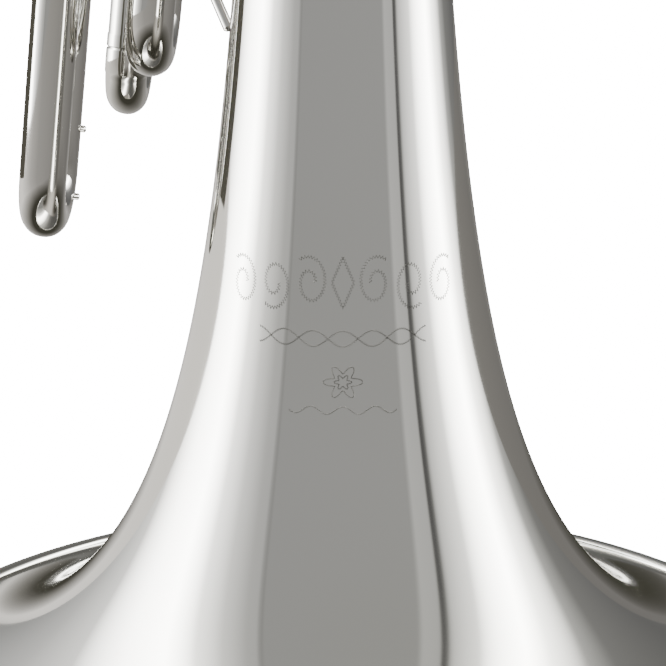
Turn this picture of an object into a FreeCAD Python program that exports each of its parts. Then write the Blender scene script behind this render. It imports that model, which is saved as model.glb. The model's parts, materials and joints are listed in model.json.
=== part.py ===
"""Double French horn (F and B flat) with a large-throat bell, standing on its bell rim.

Frame: millimetres, +Z up along the bell axis, origin at the centre of the bell rim's plane.
The wrapped body lies in a plane tilted about Y, behind the bell stem (+Y) and with its
levers and valve slides towards -X.  "Wrap" coordinates are local to that tilted plane:
w is the distance towards the levers, p runs away from the bell stem, v runs up the slides.
"""
import FreeCAD, Part
import math
import os
import Sketcher
from FreeCAD import Placement, Rotation, Vector

doc = FreeCAD.newDocument("french_horn")

# ---------------------------------------------------------------- driving dimensions
SIZES = {
    "bell_rim_radius": 155.6,
    "bell_flare_length": 23.8,
    "bell_flare_power": 0.70,
    "bell_stem_top": 392.0,
    "bell_wall": 0.5,
    "bead_radius": 3.2,
    "wrap_height": 400.0,
    "wrap_tilt": 6.5,
    "leg_spacing": 28.0,
    "tail_circle_radius": 128.0,
    "tail_sweep": 262.0,
    "tail_end_radius": 9.6,
    "tube_outer_radius": 6.6,
    "tube_inner_radius": 6.1,
    "slide_outer_radius": 7.6,
    "slide_leg_radius": 6.94,
    "sleeve_clearance": 0.06,
    "casing_radius": 17.0,
    "casing_bore": 15.2,
    "casing_half_length": 24.0,
    "rotor_clearance": 0.05,
    "first_valve_place": 75.0,
    "valve_spacing": 44.0,
    "valve_height": 20.0,
    "flat_layer": 35.0,
    "deep_layer": 61.0,
    "hub_radius": 5.5,
    "lever_arm": 26.0,
    "paddle_arm": 48.0,
    "hinge_distance": 106.0,
    "hinge_rod_radius": 2.0,
    "mouthpiece_rim_radius": 13.8,
}

sheet = doc.addObject("Spreadsheet::Sheet", "Sizes")
for line, (alias, value) in enumerate(SIZES.items(), start=1):
    sheet.set(f"A{line}", alias)
    sheet.set(f"B{line}", str(value))
    sheet.setAlias(f"B{line}", alias)
doc.recompute()


def size(alias):
    """The value of one driving dimension, read back from the sheet."""
    return float(sheet.get(alias))


made = []


def keep(thing, label, place=None):
    """Name a finished piece, put it in place and remember it for export."""
    thing.Label = label
    if place is not None:
        thing.Placement = place
    made.append(thing)
    return thing


# ---------------------------------------------------------------- the tilted wrap plane
wrap = Placement(Vector(0, 0, size("wrap_height")),
                 Rotation(Vector(0, 1, 0), size("wrap_tilt")))


def local(w, p, v):
    """A point of the wrap plane's own frame: w to the levers, p away from the bell, v up."""
    return Vector(-w, p, v)


# ---------------------------------------------------------------- ways of making a piece
def origin_plane(body, role):
    for feature in body.Origin.OriginFeatures:
        if feature.Role == role:
            return feature
    raise RuntimeError(role)


def new_sketch(body, role, name):
    sketch = body.newObject("Sketcher::SketchObject", name)
    sketch.AttachmentSupport = [(origin_plane(body, role), "")]
    sketch.MapMode = "FlatFace"
    return sketch


def outline(body, role, name, corners):
    """A closed sketch through corners, each a pair of expressions or numbers."""
    sketch = new_sketch(body, role, name)
    spots = [Vector(*(number(body, part) for part in corner), 0) for corner in corners]
    count = len(spots)
    for i in range(count):
        sketch.addGeometry(Part.LineSegment(spots[i], spots[(i + 1) % count]), False)
    for i in range(count):
        sketch.addConstraint(Sketcher.Constraint("Coincident", i, 2, (i + 1) % count, 1))
    for i, corner in enumerate(corners):
        for kind, part, value in zip(("DistanceX", "DistanceY"), corner, spots[i]):
            if abs(value) < 1e-9:
                on_axis = "PointOnObject"
                axis = -2 if kind == "DistanceX" else -1
                sketch.addConstraint(Sketcher.Constraint(on_axis, i, 1, axis))
                continue
            row = sketch.addConstraint(Sketcher.Constraint(kind, -1, 1, i, 1, value))
            if isinstance(part, str):
                sketch.setExpression(f"Constraints[{row}]", part)
    return sketch


def number(thing, part):
    """The value of an expression of the sheet's aliases, or a plain number as it is."""
    if isinstance(part, str):
        return float(thing.evalExpression(part))
    return float(part)


def turned(label, corners, place=None, role="XZ_Plane"):
    """A piece turned on the lathe: corners are (radius, height) about the local Z axis."""
    body = doc.addObject("PartDesign::Body", label)
    sketch = outline(body, role, label + "_profile", corners)
    turn = body.newObject("PartDesign::Revolution", label + "_turning")
    turn.Profile = sketch
    turn.ReferenceAxis = (sketch, ["V_Axis"])
    turn.Angle = 360.0
    return keep(body, label, place)


def shaped(label, shape, place=None):
    """A piece bent or soldered up out of tube and sheet, whose shape is worked out here."""
    thing = doc.addObject("Part::Feature", label)
    thing.Shape = shape
    return keep(thing, label, place)


def ring_wire(spot, heading, radius):
    return Part.Wire([Part.makeCircle(radius, spot, heading)])


def bent_wire(points, bends):
    """Straight runs through points, with an arc of each bend radius at the inner points."""
    edges = []
    start = points[0]
    for before, corner, after, bend in zip(points, points[1:], points[2:], bends):
        back = (before - corner).normalize()
        ahead = (after - corner).normalize()
        turn = math.pi - back.getAngle(ahead)
        reach = bend * math.tan(turn / 2)
        first = corner + back * reach
        last = corner + ahead * reach
        inward = (back + ahead).normalize()
        middle = corner + inward * (bend / math.cos(turn / 2) - bend)
        if (first - start).Length > 1e-6:
            edges.append(Part.makeLine(start, first))
        edges.append(Part.Arc(first, middle, last).toShape())
        start = last
    edges.append(Part.makeLine(start, points[-1]))
    return Part.Wire(edges)


def swept(points, bends, first_radius, last_radius):
    path = bent_wire(points, bends)
    shell = Part.BRepOffsetAPI.MakePipeShell(path)
    shell.add(ring_wire(points[0], points[1] - points[0], first_radius))
    shell.add(ring_wire(points[-1], points[-1] - points[-2], last_radius))
    shell.build()
    shell.makeSolid()
    return shell.shape()


def bent_tube(points, bends, first_radius, last_radius, wall):
    """A hollow tube along a bent path, tapering evenly from its first to its last radius."""
    outside = swept(points, bends, first_radius, last_radius)
    bore = swept(points, bends, first_radius - wall, last_radius - wall)
    return outside.cut(bore)


def rod(start, end, radius):
    return Part.makeCylinder(radius, (end - start).Length, start, end - start)


def pipe_between(start, end, outer, inner):
    return rod(start, end, outer).cut(rod(start, end, inner))


# ---------------------------------------------------------------- bell and tail
rim = size("bell_rim_radius")
bead = size("bead_radius")
wall = size("bell_wall")
stem_top = size("bell_stem_top")


def bell_radius(height):
    """Outer radius of the bell throat: a power law in the distance from the rim."""
    reach = size("bell_flare_length")
    return rim * (reach / (height - bead + reach)) ** size("bell_flare_power")


def flare_outline(count):
    """Outer and inner outline points, (radius, height), from the bead to the stem's top."""
    outer, inner = [], []
    low = bead + 0.5
    for i in range(count):
        height = low + (stem_top - low) * (i / (count - 1)) ** 2.2
        radius = bell_radius(height)
        slope = (bell_radius(height + 0.01) - radius) / 0.01
        length = math.hypot(1, slope)
        outer.append(Vector(radius, 0, height))
        inner.append(Vector(radius - wall / length, 0, height + wall * slope / length))
    return outer, inner


def make_bell():
    outer, inner = flare_outline(40)
    inner[-1].z = stem_top
    skin = Part.BSplineCurve()
    skin.interpolate(outer)
    lining = Part.BSplineCurve()
    lining.interpolate(inner)
    edges = [skin.toShape(), Part.makeLine(outer[-1], inner[-1]),
             lining.toShape(), Part.makeLine(inner[0], outer[0])]
    face = Part.Face(Part.Wire(Part.__sortEdges__(edges)))
    flare = face.revolve(Vector(), Vector(0, 0, 1), 360)
    centre = Vector(0, 0, bead - 0.25)
    roll = Part.makeTorus(rim - bead, bead, centre, Vector(0, 0, 1))
    hollow = Part.makeTorus(rim - bead, bead - wall, centre, Vector(0, 0, 1))
    below = Part.makeCylinder(rim + bead, bead, Vector(0, 0, -bead))
    shaped("bell", flare.fuse(roll).cut(hollow).cut(below))
    wire = Part.makeTorus(rim - bead, bead - wall - 0.05, centre, Vector(0, 0, 1))
    shaped("bell_rim_wire", wire)


def tail_spot(degrees):
    """Centre and heading of the bell tail at an angle round its circle, in wrap axes."""
    turn = math.radians(degrees)
    big = size("tail_circle_radius")
    spot = local(0, big - big * math.cos(turn), big * math.sin(turn))
    return spot, local(0, math.sin(turn), math.cos(turn))


def make_tail():
    big = size("tail_circle_radius")
    sections = [(Vector(0, 0, stem_top + 0.2), Vector(0, 0, 1), 0.0)]
    steps = 26
    for i in range(steps):
        degrees = 5 + (size("tail_sweep") - 5) * i / (steps - 1)
        spot, heading = tail_spot(degrees)
        way = math.radians(degrees) * big
        sections.append((wrap.multVec(spot), wrap.Rotation.multVec(heading), way))

    def loft(inset):
        wires = [ring_wire(spot, heading, bell_radius(stem_top + way) - inset)
                 for spot, heading, way in sections]
        return Part.makeLoft(wires, True, False)

    shaped("bell_tail", loft(0).cut(loft(wall)))


make_bell()
make_tail()
stem_radius = bell_radius(stem_top)
turned("stem_ferrule",
       [(stem_radius + 0.8, -12), (stem_radius + 2.2, -12), (stem_radius + 2.8, -10),
        (stem_radius + 1.9, -8), (stem_radius + 1.5, -1), (stem_radius + 0.15, -1)],
       Placement(Vector(0, 0, stem_top), Rotation()))


# ---------------------------------------------------------------- valves
first_place = size("first_valve_place")
spacing = size("valve_spacing")
valve_height = size("valve_height")
flat_layer = size("flat_layer")
deep_layer = size("deep_layer")
casing_middle = (flat_layer + deep_layer) / 2
half = size("casing_half_length")
casing_radius = size("casing_radius")
tube_outer = size("tube_outer_radius")
tube_inner = size("tube_inner_radius")
VALVES = ["third", "second", "first", "change"]
places = [first_place + spacing * i for i in range(len(VALVES))]
# A turned piece on a valve's axis: its own Z runs away from the levers, X along p, Y up v.
facing = Rotation(Vector(1, 1, 1), 120)


def at_valve(place, layer=None):
    """Placement of a piece turned about a valve's axis, at a distance towards the levers."""
    layer = casing_middle if layer is None else layer
    return wrap.multiply(Placement(local(layer, place, valve_height), facing))


def drilled(body, role, label, centres, radius):
    """Bores right through a body, square to one of its planes; radius is an expression."""
    before = body.Shape.Volume
    sketch = new_sketch(body, role, label + "_centres")
    for x, y in centres:
        row = sketch.addGeometry(
            Part.Circle(Vector(x, y, 0), Vector(0, 0, 1), number(body, radius)), False)
        bound = sketch.addConstraint(Sketcher.Constraint("Radius", row, number(body, radius)))
        sketch.setExpression(f"Constraints[{bound}]", radius)
    bore = body.newObject("PartDesign::Pocket", label)
    bore.Profile = sketch
    bore.Type = "ThroughAll"
    bore.Midplane = True
    doc.recompute()
    if body.Shape.Volume > before - 1:
        raise RuntimeError(label + " cut nothing")


def make_valve(name, place):
    """One rotary valve: casing with its front wall, rotor, and their ports and passages."""
    wall_thick = 3.0
    casing = turned(f"valve_casing_{name}", [
        (3.0, "-Sizes.casing_half_length"),
        ("Sizes.casing_radius", "-Sizes.casing_half_length"),
        ("Sizes.casing_radius", "Sizes.casing_half_length"),
        ("Sizes.casing_bore", "Sizes.casing_half_length"),
        ("Sizes.casing_bore", "-Sizes.casing_half_length + 3"),
        (3.0, "-Sizes.casing_half_length + 3")], at_valve(place))
    doc.recompute()
    layers = (flat_layer - casing_middle, deep_layer - casing_middle)
    drilled(casing, "YZ_Plane", f"ports_{name}", [(0, d) for d in layers],
            "Sizes.tube_inner_radius")
    rotor = turned(f"rotor_{name}", [
        (0, -half - 9), (2.4, -half - 9), (2.95, -half - 8), (2.95, -half + wall_thick + 0.1),
        ("Sizes.casing_bore - Sizes.rotor_clearance", -half + wall_thick + 0.1),
        ("Sizes.casing_bore - Sizes.rotor_clearance", half - 4.1),
        (2.95, half - 4.1), (2.95, half + 1.0), (0, half + 1.0)], at_valve(place))
    doc.recompute()
    drilled(rotor, "XZ_Plane", f"passages_{name}",
            [(side * 12.0, d) for d in layers for side in (-1, 1)], "Sizes.tube_inner_radius")


def group(label, shapes, place=None):
    """Identical pieces that share one node, as separate solids."""
    solids = [solid for shape in shapes for solid in shape.Solids]
    return shaped(label, Part.makeCompound(solids), place)


for name, place in zip(VALVES, places):
    make_valve(name, place)

bearing_seat = half - 4.0


def bearing_plate(place):
    plate = Part.makeCylinder(size("casing_bore") - 0.03, 2.9, Vector(0, 0, bearing_seat))
    hole = Part.makeCylinder(3.0, 5, Vector(0, 0, bearing_seat - 1))
    plate = plate.cut(hole)
    plate.Placement = at_valve(place)
    return plate


def valve_cap(place):
    """Domed cap screwed over the back of a casing, with a knurled edge band."""
    radius = casing_radius + 1.6
    cup = Part.makeCylinder(radius, 5.0, Vector(0, 0, half - 1.5))
    dome = Part.makeSphere(60, Vector(0, 0, half + 3.5 - 60))
    cup = cup.common(dome)
    inside = Part.makeCylinder(casing_radius + 0.03, 1.52, Vector(0, 0, half - 1.51))
    hollow = Part.makeCylinder(4.0, 1.6, Vector(0, 0, half))
    cup = cup.cut(inside).cut(hollow)
    cup.Placement = at_valve(place)
    return cup


group("rotor_bearings", [bearing_plate(place) for place in places])
group("valve_caps", [valve_cap(place) for place in places])

# Stop plates carry two cork posts; the stop arm swings a quarter turn between the corks.
arm_length = 13.0
arm_half_width = 2.0
front = -half
hub_start = front - 4.0


def stop_plate(place, corks, angles):
    """Ring on the casing's front with two cork posts a little over 90 degrees apart."""
    ring = Part.makeCylinder(casing_radius - 1, 1.5, Vector(0, 0, front - 1.5))
    ring = ring.cut(Part.makeCylinder(4.0, 3, Vector(0, 0, front - 2)))
    parts = []
    for angle in angles:
        spot = Rotation(Vector(0, 0, 1), angle).multVec(Vector(arm_length, 0, front - 6.9))
        post = Part.makeCylinder(2.3, 5.4, spot)
        core = Part.makeCylinder(1.2, 5.4, spot)
        parts.append(post.cut(core) if corks else core)
    shapes = parts if corks else [ring.fuse(parts)]
    for shape in shapes:
        shape.Placement = at_valve(place)
    return Part.makeCompound(shapes)


def stop_arm(label, place, start_angle):
    """Hub on the rotor's squared end, with its arm, string screw and centre screw."""
    hub = Part.makeCylinder(size("hub_radius"), 6.0, Vector(0, 0, front - 8.5))
    arm = Part.makeBox(arm_length, 2 * arm_half_width, 3.0,
                       Vector(0, -arm_half_width, front - 6.5))
    arm.rotate(Vector(), Vector(0, 0, 1), start_angle)
    screw = Part.makeCylinder(2.6, 1.6, Vector(0, 0, front - 10.1))
    slot = Part.makeBox(6, 0.7, 0.8, Vector(-3, -0.35, front - 10.2))
    bore = Part.makeCylinder(2.97, 7.0, Vector(0, 0, front - 9.0))
    shape = hub.fuse(arm).fuse(screw.cut(slot)).cut(bore)
    shaped(label, shape, at_valve(place))


# The finger valves turn one way and the thumb's change valve the other way.
rest_angle = {name: 165 if name == "change" else 195 for name in VALVES}
cork_angles = {name: (145, 275) if name == "change" else (85, 215) for name in VALVES}
for label, corks in (("cork_plates", False), ("stop_corks", True)):
    group(label, [stop_plate(place, corks, cork_angles[name])
                  for name, place in zip(VALVES, places)])
for name, place in zip(VALVES, places):
    stop_arm(f"stop_arm_{name}", place, rest_angle[name])


# ---------------------------------------------------------------- tubing of the wrap
slide_outer = size("slide_outer_radius")
slide_leg = size("slide_leg_radius")
ferrule_radius = slide_outer + 0.25
clearance = size("sleeve_clearance")
leg_spacing = size("leg_spacing")
sleeve_top = valve_height - 8.5
tube_wall = tube_outer - tube_inner


def casing_solid(place):
    solid = Part.makeCylinder(casing_radius + 0.02, 2 * half, Vector(0, 0, -half))
    solid.Placement = Placement(local(casing_middle, place, valve_height), facing)
    return solid


def knuckles():
    """Short tubes between neighbouring casings, on both layers."""
    tubes = []
    for near, far in zip(places, places[1:]):
        for layer in (flat_layer, deep_layer):
            start = local(layer, near + casing_radius - 2.5, valve_height)
            end = local(layer, far - casing_radius + 2.5, valve_height)
            tube = pipe_between(start, end, tube_outer, tube_inner)
            tubes.append(tube.cut(casing_solid(near)).cut(casing_solid(far)))
    return tubes


def sleeve(w, p, low, place=None):
    """Outer slide tube: closed where it meets its casing, open at its low mouth."""
    bore = slide_leg + clearance
    beyond = w + slide_outer > casing_middle + half
    top = valve_height - casing_radius - 2.5 if beyond else sleeve_top
    tube = rod(local(w, p, low), local(w, p, top), slide_outer)
    if beyond:
        stub = rod(local(deep_layer, p, top - 5), local(deep_layer, p, sleeve_top), tube_outer)
        tube = tube.fuse(stub)
    tube = tube.cut(rod(local(w, p, low), local(w, p, top - 4), bore))
    band = pipe_between(local(w, p, low), local(w, p, low + 5), ferrule_radius, bore)
    tube = tube.fuse(band)
    return tube if place is None else tube.cut(casing_solid(place))


def slide(w, p, spacing, low, bottom):
    """A pull slide: two legs inside the sleeves, ferrules, and the bow below them."""
    top = low - 0.5
    turn = spacing / 2
    base = bottom + slide_outer
    route = [local(w, p - turn, top), local(w, p - turn, base),
             local(w, p + turn, base), local(w, p + turn, top)]
    wall_thick = 0.75
    shape = bent_tube(route, [turn, turn], slide_outer, slide_outer, wall_thick)
    for side in (p - turn, p + turn):
        length = min(75.0, sleeve_top - low - 8.0)
        leg = pipe_between(local(w, side, top), local(w, side, low + length),
                           slide_leg, slide_leg - tube_wall)
        ferrule = pipe_between(local(w, side, top - 9), local(w, side, top),
                               ferrule_radius, slide_outer - wall_thick)
        shape = shape.fuse([leg, ferrule])
    return shape


def with_nibs(shape, w, p, bottom):
    """Two small pull nibs soldered to the far leg of a slide and to its bow."""
    centre = local(w, p, bottom + slide_outer + leg_spacing / 2)
    surface = leg_spacing / 2 + slide_outer
    nibs = []
    for rise, angle in ((10.0, 0), (0.0, -32)):
        out = Vector(0, math.cos(math.radians(angle)), math.sin(math.radians(angle)))
        start = centre + Vector(0, 0, rise)
        nibs.append(rod(start + out * (surface - 0.5), start + out * (surface + 2.2), 1.3))
    return shape.fuse(nibs)


# Valve slides: label, valve, distance to the levers, sleeve mouth, lowest point of the bow.
VALVE_SLIDES = [
    ("f_slide_third", 0, 68.0, -110.0, -278.0),
    ("flat_slide_third", 0, 38.0, -110.0, -221.0),
    ("f_slide_second", 1, 61.0, -60.0, -130.0),
    ("flat_slide_second", 1, 35.0, -50.0, -105.0),
    ("f_slide_first", 2, 53.0, -221.0, -247.5),
    ("flat_slide_first", 2, 34.0, -70.0, -165.0),
    ("f_tuning_slide", 3, 61.0, -70.0, -150.0),
]
f_sleeves, flat_sleeves = [], []
for label, index, w, low, bottom in VALVE_SLIDES:
    place = places[index]
    bow = slide(w, place, leg_spacing, low, bottom)
    if label == "f_slide_third":
        bow = with_nibs(bow, w, place, bottom)
    shaped(label, bow, wrap)
    row = f_sleeves if label.startswith("f_") else flat_sleeves
    for side in (-1, 1):
        row.append(sleeve(w, place + side * leg_spacing / 2, low, place))
group("knuckles", knuckles(), wrap)
group("f_slide_sleeves", f_sleeves, wrap)
group("flat_slide_sleeves", flat_sleeves, wrap)

# Main tuning slide, between the leadpipe's long leg and the change valve.
main_near = places[3] + leg_spacing / 2
main_far = main_near + 42.0
main_mouth = -75.0
main_bottom = -178.0
shaped("main_tuning_slide", slide(flat_layer, (main_near + main_far) / 2,
                                  main_far - main_near, main_mouth, main_bottom), wrap)
group("main_slide_sleeves", [sleeve(flat_layer, main_near, main_mouth, places[3]),
                             sleeve(flat_layer, main_far, main_mouth)], wrap)

# Leadpipe from the receiver down the far side to the main tuning slide's sleeve.
receiver_spot = local(52, 338, 168)
bend_spot = local(flat_layer, main_far, 92)
leadpipe_end = local(flat_layer, main_far, sleeve_top + 0.05)
shaped("leadpipe", bent_tube([receiver_spot, bend_spot, leadpipe_end], [70], 5.0,
                             tube_outer, tube_wall), wrap)

# Branch from the bell tail's small end round to the third valve.
tail_end, tail_heading = tail_spot(size("tail_sweep"))
branch_start = tail_end + tail_heading * 0.3
tail_small = bell_radius(stem_top + math.radians(size("tail_sweep")) * size("tail_circle_radius"))
port = places[0] - casing_radius - 0.05
riser = 37.0
branch_corner = branch_start + tail_heading * ((branch_start.y - riser) / -tail_heading.y)
branch_route = [branch_start, branch_corner, local(0, riser, valve_height),
                local(flat_layer, riser, valve_height), local(flat_layer, port, valve_height)]
shaped("tail_branch", bent_tube(branch_route, [26, 17, 9.5], tail_small, tube_outer,
                                tube_wall), wrap)
ferrule_length = 9.0
shaped("tail_ferrule", pipe_between(tail_end - tail_heading * ferrule_length,
                                    tail_end + tail_heading * 3, tail_small + 1.5,
                                    tail_small + 0.55), wrap)

# The long way round: F tubing returns from the third valve to the change valve.
loop_height = 62.0
last_port = places[3] + casing_radius + 0.05
left, right = port - 14.0, last_port + 14.0
shaped("f_return_tube", bent_tube([
    local(deep_layer, port, valve_height), local(deep_layer, left, valve_height),
    local(deep_layer, left, loop_height), local(deep_layer, right, loop_height),
    local(deep_layer, right, valve_height), local(deep_layer, last_port, valve_height)],
    [12.5] * 4, tube_outer, tube_outer, tube_wall), wrap)


# ---------------------------------------------------------------- levers and string action
hinge_w = size("hinge_distance")
hinge_rod = size("hinge_rod_radius")
paddle_arm = size("paddle_arm")
lever_offset = 8.0
bar_w = hinge_w - size("lever_arm")
bar_reach = 13.5
strand = 0.4


def plate(w, p, v, wide_w, wide_p, wide_v):
    """A flat piece centred at a wrap position."""
    corner = Vector(-w - wide_w / 2, p - wide_p / 2, v - wide_v / 2)
    return Part.makeBox(wide_w, wide_p, wide_v, corner)


def lever(label, place, way):
    """Bell-crank: collar on the hinge rod, paddle arm, and the bar that holds the string."""
    p = place + lever_offset
    collar = rod(local(hinge_w, p - 9, valve_height), local(hinge_w, p + 9, valve_height), 4.0)
    short = plate((hinge_w + bar_w) / 2, p, valve_height, hinge_w - bar_w, 4.0, 2.4)
    bar = rod(local(bar_w, p, valve_height - bar_reach),
              local(bar_w, p, valve_height + bar_reach), 1.2)
    knee = valve_height + way * paddle_arm * 0.55
    stalk = plate(hinge_w + 1.5, p, (valve_height + knee) / 2, 3.0, 5.0, abs(knee - valve_height))
    tip = valve_height + way * paddle_arm
    touch = rod(local(hinge_w + 2, p - 1, tip), local(hinge_w + 4.2, p - 1, tip), 10.5)
    neck = plate(hinge_w + 2.5, p, (knee + tip) / 2, 2.6, 6.0, abs(tip - knee))
    shape = collar.fuse([short, bar, stalk, neck, touch])
    hole = rod(local(hinge_w, p - 10, valve_height), local(hinge_w, p + 10, valve_height),
               hinge_rod + 0.05)
    shaped(label, shape.cut(hole), wrap)


def strings(place):
    """The two runs of string from the lever's bar to the hub's side."""
    near = place + size("hub_radius") + strand + 0.25
    runs = []
    for side in (-1, 1):
        tip = local(bar_w, place + lever_offset - 0.9, valve_height + side * (bar_reach - 1.5))
        runs.append(rod(local(bar_w, near, valve_height + side * 0.6), tip, strand))
    return Part.makeCompound(runs)


def hinge_post(p):
    """Post from the base bar out to the hinge rod, drilled for the rod."""
    out = plate((75 + hinge_w) / 2, p, valve_height + 20.5, hinge_w - 75 + 6, 3.0, 4.0)
    down = plate(hinge_w, p, valve_height + 9.5, 6.0, 3.0, 24.0)
    eye = rod(local(hinge_w, p - 1.5, valve_height), local(hinge_w, p + 1.5, valve_height), 4.2)
    return out.fuse([down, eye])


lever_names = {name: "thumb_lever" if name == "change" else f"finger_lever_{name}"
               for name in VALVES}
for name, place in zip(VALVES, places):
    lever(lever_names[name], place, -1 if name == "change" else 1)
    group(f"strings_{name}", [strings(place)], wrap)

post_places = [places[0] - 12, places[2] + 30, places[3] + 24]
rod_holes = rod(local(hinge_w, 0, valve_height), local(hinge_w, 300, valve_height), hinge_rod)
base_bar = plate(67.5, (places[0] + places[3]) / 2, valve_height + casing_radius + 2.03,
                 17.0, places[3] - places[0] + 46, 4.0)
posts = base_bar.fuse([hinge_post(p) for p in post_places]).cut(rod_holes)
shaped("lever_posts", posts, wrap)
shaped("finger_hinge_rod", rod(local(hinge_w, post_places[0] - 4, valve_height),
                               local(hinge_w, post_places[1] - 0.2, valve_height), hinge_rod),
       wrap)
shaped("thumb_hinge_rod", rod(local(hinge_w, post_places[1] + 0.2, valve_height),
                              local(hinge_w, post_places[2] + 4, valve_height), hinge_rod),
       wrap)


def lever_spring(place):
    p = place + lever_offset
    start = local(hinge_w, p - 16.5, valve_height)
    end = local(hinge_w, p - 9.3, valve_height)
    return pipe_between(start, end, 3.4, hinge_rod + 0.3)


group("lever_springs", [lever_spring(place) for place in places], wrap)

# ---------------------------------------------------------------- mouthpiece end
pipe_heading = (receiver_spot - bend_spot).normalize()
mouth_frame = wrap.multiply(Placement(receiver_spot + pipe_heading * 0.2,
                                      Rotation(Vector(0, 0, 1), pipe_heading)))
turned("mouthpiece_receiver", [
    (5.4, -14), (6.4, -14), (6.2, 10), (6.9, 12), (6.9, 22), (7.6, 24), (7.6, 28), (6.0, 28),
    (5.06, 2)], mouth_frame)
turned("mouthpiece", [
    (4.1, 4), (5.0, 4), (5.92, 28.2), (6.4, 34), (8.2, 46), (11.6, 60),
    ("Sizes.mouthpiece_rim_radius - 0.8", 68), ("Sizes.mouthpiece_rim_radius", 70),
    ("Sizes.mouthpiece_rim_radius", 72.5), ("Sizes.mouthpiece_rim_radius - 1.2", 74),
    ("Sizes.mouthpiece_rim_radius - 3.6", 74), ("Sizes.mouthpiece_rim_radius - 4.8", 71.5),
    (6.6, 60), (2.3, 44), (2.3, 38)], mouth_frame)

# ---------------------------------------------------------------- braces and fittings


def strut(start, end, radius, foot):
    """A round brace between two tubes, with a wider foot at each end."""
    way = (end - start).normalize()
    body = rod(start, end, radius)
    feet = [rod(start, start + way * 1.6, foot), rod(end - way * 1.6, end, foot)]
    return body.fuse(feet)


flat_third_near = places[0] - leg_spacing / 2
brace_low = 212.0
brace_radius = bell_radius(brace_low)
brace_side = math.radians(128)
bell_foot = Vector(math.cos(brace_side), math.sin(brace_side), 0) * (brace_radius + 0.6)
bell_foot.z = brace_low
flat_third_w = 38.0
sleeve_foot = wrap.multVec(local(flat_third_w - slide_outer + 0.5, flat_third_near, -98))
sleeve_core = rod(wrap.multVec(local(flat_third_w, flat_third_near, -120)),
                  wrap.multVec(local(flat_third_w, flat_third_near, -80)), slide_outer + 0.52)
shaped("bell_brace", strut(bell_foot, sleeve_foot, 1.9, 3.6).cut(sleeve_core))

crown = tail_spot(100)[0]
tail_far = tail_spot(180)[0]
main_sleeve_core = rod(local(flat_layer, main_near, -12), local(flat_layer, main_near, 12),
                       slide_outer + 0.01)
struts = [
    strut(local(16.2, tail_far.y - 6, 0), local(flat_layer, main_near + slide_outer - 1, 0), 1.8,
          3.2).cut(main_sleeve_core),
    strut(local(19.3, 72, crown.z - 9), local(deep_layer - tube_outer, 72, loop_height), 1.8, 3.2),
    strut(local(19.3, 180, crown.z - 12), local(deep_layer - tube_outer, 180, loop_height), 1.8,
          3.2),
    strut(local(8.0, riser, -20), local(flat_layer, flat_third_near - slide_outer, -20), 1.8, 3.2),
]
group("body_braces", struts, wrap)

# Little-finger hook, soldered to the sleeve of the third valve's F slide.
hook_w = 68.0 + slide_outer
hook_p = places[0] - leg_spacing / 2
hook_base = plate(hook_w + 0.9, hook_p, -45, 2.0, 9.0, 16.0)
hook_route = [local(hook_w + 2.1, hook_p, -45), local(hook_w + 20, hook_p, -45),
              local(hook_w + 26, hook_p - 10, -66), local(hook_w + 8, hook_p - 16, -76)]
shaped("finger_hook_base", hook_base, wrap)
shaped("finger_hook", swept(hook_route, [9, 9], 2.4, 2.4), wrap)

# Water key on the main tuning slide: nipple and lugs on the tube, sprung lever and cork.
key_w = flat_layer
key_v = -140.0
tube_side = main_far + slide_outer
nipple = pipe_between(local(key_w, tube_side - 0.5, key_v - 16),
                      local(key_w, tube_side + 2.5, key_v - 16), 3.0, 1.5)
lugs = [plate(key_w + side * 4.2, tube_side + 2.6, key_v, 1.6, 6.4, 6.0) for side in (-1, 1)]
key_pivot = local(key_w, tube_side + 4.2, key_v)
pin = rod(key_pivot + local(-5.6, 0, 0), key_pivot + local(5.6, 0, 0), 0.8)
pin_hole = rod(key_pivot + local(-6, 0, 0), key_pivot + local(6, 0, 0), 0.8)
key_collar = rod(key_pivot + local(-3.1, 0, 0), key_pivot + local(3.1, 0, 0), 1.9)
key_arm = plate(key_w, tube_side + 5.4, key_v + 4, 3.2, 1.4, 44.0)
key_pad = rod(local(key_w, tube_side + 4.8, key_v + 28), local(key_w, tube_side + 6.2, key_v + 28),
              4.6)
key_cup = rod(local(key_w, tube_side + 4.3, key_v - 16), local(key_w, tube_side + 6.0, key_v - 16),
              3.8)
key_bore = rod(key_pivot + local(-4, 0, 0), key_pivot + local(4, 0, 0), 0.86)
shaped("water_key_lugs", Part.makeCompound([lug.cut(pin_hole) for lug in lugs] + [nipple]), wrap)
shaped("water_key_pin", pin, wrap)
shaped("water_key", key_collar.fuse([key_arm, key_pad, key_cup]).cut(key_bore), wrap)
shaped("water_key_cork", rod(local(key_w, tube_side + 2.6, key_v - 16),
                             local(key_w, tube_side + 4.25, key_v - 16), 3.2), wrap)

# ---------------------------------------------------------------- check and write
doc.recompute()
for thing in doc.Objects:
    if "Invalid" in thing.State or "Error" in thing.State:
        raise RuntimeError(f"{thing.Label} failed: {thing.State}")
os.makedirs("parts", exist_ok=True)
for thing in made:
    if thing.Shape.isNull() or not thing.Shape.isValid():
        raise RuntimeError(f"{thing.Label} has no valid shape")
    thing.Shape.exportStep(f"parts/{thing.Label}.step")
    print(f"{thing.Label}: {len(thing.Shape.Solids)} solid(s)")
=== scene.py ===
import json
import math

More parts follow.
